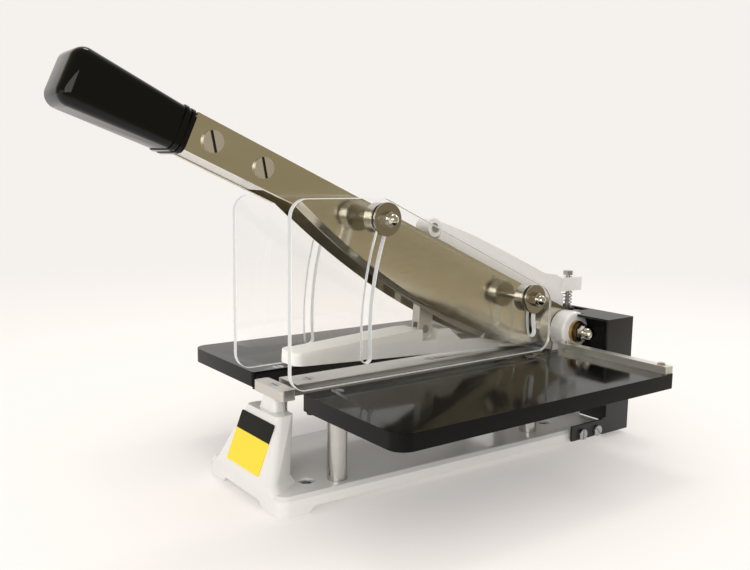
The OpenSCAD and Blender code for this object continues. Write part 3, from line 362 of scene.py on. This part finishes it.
turnedPieces = {
    "table_posts": {"body": "frame", "finish": "postGroundBar", "edge": 0.4 * mm, "steps": 2},
    "spacer_collars": {"body": "frame", "finish": "turnedMildSteel", "edge": 0.1 * mm, "steps": 1},
    "pivot_shaft": {"body": "frame", "finish": "turnedMildSteel", "edge": 0.3 * mm, "steps": 2},
    "brass_rings": {"body": "frame", "finish": "ringTurnedBrass", "edge": 0.25 * mm, "steps": 2},
    "spring_washers": {"body": "frame", "finish": "conedWasherBronze", "edge": 0.12 * mm, "steps": 2},
    "tension_nuts": {"body": "frame", "finish": "domedNutNickel", "edge": 0.3 * mm, "steps": 2},
    "cotter_pins": {"body": "frame", "finish": "fastenerBrightZinc", "edge": 0.2 * mm, "steps": 2},
    "stop_bolt": {"body": "frame", "finish": "fastenerBrightZinc", "edge": 0.3 * mm, "steps": 2},
    "spring_seat": {"body": "frame", "finish": "mouldedBlackRubber", "edge": 0.3 * mm, "steps": 2},
    "arm_pin": {"body": "hold_down", "finish": "fastenerBrightZinc", "edge": 0.2 * mm, "steps": 2},
    "link_pin": {"body": "hold_down", "finish": "fastenerBrightZinc", "edge": 0.2 * mm, "steps": 2},
    "guard_studs": {"body": "lever", "finish": "turnedMildSteel", "edge": 0.15 * mm, "steps": 2},
    "stud_sleeves": {"body": "lever", "finish": "turnedMildSteel", "edge": 0.4 * mm, "steps": 2},
    # the discs take the turned steel darkened as painted shade
    "guard_discs": {"body": "lever", "finish": "discTurnedSteelPaintedShade", "edge": 0.3 * mm, "steps": 2},
    "guard_nuts": {"body": "lever", "finish": "domedNutNickel", "edge": 0.25 * mm, "steps": 2},
    "lift_peg": {"body": "lever", "finish": "turnedMildSteel", "edge": 0.2 * mm, "steps": 2},
    "fence_screws": {"body": "frame", "finish": "domedNutNickel", "edge": 0.3 * mm, "steps": 2},
    "cover_screws": {"body": "frame", "finish": "fastenerBrightZinc", "edge": 0.3 * mm, "steps": 2},
    "table_screws": {"body": "frame", "finish": "fastenerBrightZinc", "edge": 0.15 * mm, "steps": 1},
    "anvil_screws": {"body": "frame", "finish": "fastenerBrightZinc", "edge": 0.15 * mm, "steps": 1},
    "end_block_screw": {"body": "frame", "finish": "fastenerBrightZinc", "edge": 0.15 * mm, "steps": 1},
    "mount_screws": {"body": "frame", "finish": "fastenerBrightZinc", "edge": 0.2 * mm, "steps": 2},
    "bench_cups": {"body": "frame", "finish": "fastenerBrightZinc", "edge": 0.15 * mm, "steps": 1},
    "table_pads": {"body": "frame", "finish": "mouldedBlackRubber", "edge": 0.3 * mm, "steps": 2},
}
for group in (castPieces, platePieces, turnedPieces):
    for nodeName, pieceHow in group.items():
        finishNode(nodeName, pieceHow)
print("finished pieces:", len(castPieces) + len(platePieces) + len(turnedPieces))

# the slot's faces lie between slotSkin and slotDeep below the head's outer face
screwLook = {"edge": 0.3 * mm, "steps": 2, "slotDeep": 1.3 * mm, "slotSkin": 0.15 * mm}


def makeKnifeScrews(look):
    # broad slotted heads: the slot's walls and floor take the second finish, near black, as painted shade
    # for the recess
    bm = meldedCopy("knife_screws")
    far = max(abs(v.co.x) for v in bm.verts)
    for face in bm.faces:
        depth = far - abs(face.calc_center_median().x)
        onHead = all(abs(v.co.x) > far - look["slotDeep"] for v in face.verts)
        face.material_index = secondFinish if onHead and depth > look["slotSkin"] else firstFinish
    piece = placePiece(bm, "knifeScrewsFinished", "lever", ["screwSatinNickel", "slotPaintedShade"])
    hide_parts("knife_screws")
    roundEdges(piece, look)


makeKnifeScrews(screwLook)

# a face whose normal has less than sideTilt of X is the sheet's cut edge
guardLook = {"edge": 0.5 * mm, "steps": 2, "sideTilt": 0.6}


def makeGuard(name, look):
    bm = meldedCopy(name)
    for face in bm.faces:
        # cut edges take the second finish, which glows faintly as painted light
        face.material_index = secondFinish if abs(face.normal.x) < look["sideTilt"] else firstFinish
    piece = placePiece(bm, name + "Sheet", name, ["guardClearAcrylic", "guardEdgePaintedGlow"])
    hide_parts(name)
    roundEdges(piece, look).material = secondFinish


for guard in ("left_guard", "right_guard"):
    makeGuard(guard, guardLook)
print("guards made")

# the dark band's share of the plate's height
labelLook = {"bandShare": 0.36}


def makeLabel(look):
    bm = meldedCopy("label_plate")
    low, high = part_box("label_plate")
    split = high[2] - look["bandShare"] * (high[2] - low[2])
    geom = bm.verts[:] + bm.edges[:] + bm.faces[:]
    bmesh.ops.bisect_plane(bm, geom=geom, plane_co=(0, 0, split), plane_no=(0, 0, 1))
    for face in bm.faces:
        face.material_index = secondFinish if face.calc_center_median().z > split else firstFinish
    piece = placePiece(bm, "plainLabel", "frame", ["labelYellowPrint", "labelBlackPrint"])
    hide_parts("label_plate")


makeLabel(labelLook)

springLook = {"smoothAngle": 60, "levels": 2}


def makeSpring(look):
    bm = meldedCopy("arm_spring")
    piece = placePiece(bm, "armSpringWire", "frame", ["fastenerBrightZinc"], look["smoothAngle"])
    smooth = piece.modifiers.new("roundWire", "SUBSURF")
    smooth.levels = smooth.render_levels = look["levels"]
    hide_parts("arm_spring")


makeSpring(springLook)

gripLook = {"smoothAngle": 50, "edge": 0.5 * mm, "steps": 2}


def makeGrip(look):
    bm = meldedCopy("handle_grip")
    piece = placePiece(bm, "gripMoulding", "lever", ["gripGlossPlastic"], look["smoothAngle"])
    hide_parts("handle_grip")
    roundEdges(piece, look)


makeGrip(gripLook)
print("label, spring and grip made")

stageLook = {
    "radius": 6.0,
    "corners": 96,
    "paperRough": 0.7,
    "floorColour": "f7f3f0",
    "backdropColour": "f5f1ed",
    "roomColour": "a59a80",         # the dim room, which only polished faces show
    "fadeNear": 0.35,               # the floor's shading gives way to the backdrop between these reaches
    "fadeFar": 1.6,
    "fadeLeast": 0.3,               # share of the backdrop in the floor right under the object
    "roomFloor": (0.12, 0.5),       # metres to the right over which the mirrored floor turns dim
    "roomAxis": (0.8, -0.59, 0.0),  # points at the room's dim side, to the right and front
    "roomSky": (-0.75, -0.1),       # cosines to roomAxis over which the mirrored room turns dim
    "worldLight": 1.1,              # strength of the even light on the object
    "oneMirror": 0.5,               # a ray that has met a polished face counts more glossy bounces than this
}


def makeFloorPaper(s):
    # white paper sweep: plain where it is seen, dim on the right in what polished faces mirror
    mat = makeFinish("paleFloorPaper", {"shader": {"Roughness": s["paperRough"]}})
    tree = mat.node_tree
    shader = tree.nodes["Principled BSDF"]
    coords = addNode(tree, "ShaderNodeTexCoord")
    reach = addNode(tree, "ShaderNodeVectorMath", {0: coords.outputs["Object"]}, operation="LENGTH")
    fade = addNode(tree, "ShaderNodeMapRange", {"Value": reach.outputs["Value"]},
                   {"From Min": s["fadeNear"], "From Max": s["fadeFar"], "To Min": s["fadeLeast"]},
                   interpolation_type="SMOOTHSTEP")
    axes = addNode(tree, "ShaderNodeSeparateXYZ", {0: coords.outputs["Object"]})
    side = addNode(tree, "ShaderNodeMapRange", {"Value": axes.outputs["X"]},
                   {"From Min": s["roomFloor"][0], "From Max": s["roomFloor"][1]},
                   interpolation_type="SMOOTHSTEP")
    path = addNode(tree, "ShaderNodeLightPath")
    mirrored = addNode(tree, "ShaderNodeMath", {0: path.outputs["Glossy Depth"]}, {1: s["oneMirror"]},
                       operation="GREATER_THAN")
    dim = addNode(tree, "ShaderNodeMath", {0: side.outputs["Result"], 1: mirrored.outputs[0]},
                  operation="MULTIPLY")
    near = addNode(tree, "ShaderNodeMix", {mixShare: dim.outputs[0]},
                   {mixFirst: s["floorColour"], mixSecond: s["roomColour"]}, data_type="RGBA")
    tree.links.new(near.outputs[mixResult], shader.inputs["Base Color"])
    far = addNode(tree, "ShaderNodeMix", {mixShare: dim.outputs[0]},
                  {mixFirst: s["backdropColour"], mixSecond: s["roomColour"]}, data_type="RGBA")
    glow = addNode(tree, "ShaderNodeEmission", {"Color": far.outputs[mixResult]})
    mixed = addNode(tree, "ShaderNodeMixShader",
                    {0: fade.outputs["Result"], 1: shader.outputs[0], 2: glow.outputs[0]})
    tree.links.new(mixed.outputs[0], tree.nodes["Material Output"].inputs["Surface"])
    return mat


def makeFloor(s):
    bm = bmesh.new()
    bmesh.ops.create_circle(bm, cap_ends=True, segments=s["corners"], radius=s["radius"])
    bmesh.ops.translate(bm, verts=bm.verts, vec=(0, 0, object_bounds()[0][2]))
    mesh = bpy.data.meshes.new("paleFloor")
    bm.to_mesh(mesh)
    bm.free()
    floor = bpy.data.objects.new("paleFloor", mesh)
    bpy.context.scene.collection.objects.link(floor)
    mesh.materials.append(makeFloorPaper(s))
    floor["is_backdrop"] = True


def makeWorld(s):
    # the plain backdrop where it is seen, the dim room where it is mirrored, even light for all else
    world = bpy.data.worlds.new("paleStudio")
    world.use_nodes = True
    bpy.context.scene.world = world
    tree = world.node_tree
    coords = addNode(tree, "ShaderNodeTexCoord")
    facing = addNode(tree, "ShaderNodeVectorMath", {0: coords.outputs["Generated"]}, {1: s["roomAxis"]},
                     operation="DOT_PRODUCT")
    side = addNode(tree, "ShaderNodeMapRange", {"Value": facing.outputs["Value"]},
                   {"From Min": s["roomSky"][0], "From Max": s["roomSky"][1]},
                   interpolation_type="SMOOTHSTEP")
    room = addNode(tree, "ShaderNodeMix", {mixShare: side.outputs["Result"]},
                   {mixFirst: s["backdropColour"], mixSecond: s["roomColour"]}, data_type="RGBA")
    path = addNode(tree, "ShaderNodeLightPath")
    mirrored = addNode(tree, "ShaderNodeMath", {0: path.outputs["Glossy Depth"]}, {1: s["oneMirror"]},
                       operation="GREATER_THAN")
    shown = addNode(tree, "ShaderNodeMix",
                    {mixShare: mirrored.outputs[0], mixSecond: room.outputs[mixResult]},
                    {mixFirst: s["backdropColour"]}, data_type="RGBA")
    cameraOrGlossy = addNode(tree, "ShaderNodeMath",
                            {0: path.outputs["Is Camera Ray"], 1: path.outputs["Is Glossy Ray"]},
                            operation="ADD")
    seen = addNode(tree, "ShaderNodeMath",
                   {0: cameraOrGlossy.outputs[0], 1: path.outputs["Is Transmission Ray"]},
                   operation="ADD", use_clamp=True)
    colour = addNode(tree, "ShaderNodeMix",
                     {mixShare: seen.outputs[0], mixSecond: shown.outputs[mixResult]},
                     {mixFirst: s["floorColour"]}, data_type="RGBA")
    level = addNode(tree, "ShaderNodeMapRange", {"Value": seen.outputs[0]}, {"To Min": s["worldLight"]})
    back = tree.nodes["Background"]
    tree.links.new(colour.outputs[mixResult], back.inputs["Color"])
    tree.links.new(level.outputs["Result"], back.inputs["Strength"])


lampSettings = {
    "topSoftbox": {"place": (-0.5, 0.2, 1.7), "aim": (0, 0, 0.05), "size": (0.5, 0.3), "watts": 3.5},
    "rearStrip": {"place": (-0.13, 1.45, 1.15), "aim": (0, -0.25, 0.2), "size": (0.6, 0.25), "watts": 3},
    "cameraSoftbox": {"place": (1.35, -1.25, 0.52), "aim": (0, 0, -0.04), "size": (1.5, 0.8), "watts": 10},
    "lowFill": {"place": (0.35, -1.6, 0.28), "aim": (0, 0, -0.05), "size": (1.6, 0.4), "watts": 1.5},
}


def makeLamp(name, s):
    data = bpy.data.lights.new(name, "AREA")
    data.shape = "RECTANGLE"
    data.size, data.size_y = s["size"]
    data.energy = s["watts"]
    lamp = bpy.data.objects.new(name, data)
    lamp.location = s["place"]
    lamp.rotation_mode = "QUATERNION"
    lamp.rotation_quaternion = (Vector(s["aim"]) - Vector(s["place"])).to_track_quat("-Z", "Y")
    bpy.context.scene.collection.objects.link(lamp)


makeFloor(stageLook)
makeWorld(stageLook)
for lampName, lampHow in lampSettings.items():
    makeLamp(lampName, lampHow)
makeCamera(cameraSetup)
bpy.context.scene.view_settings.view_transform = "Standard"
print("stage, lamps and camera ready")
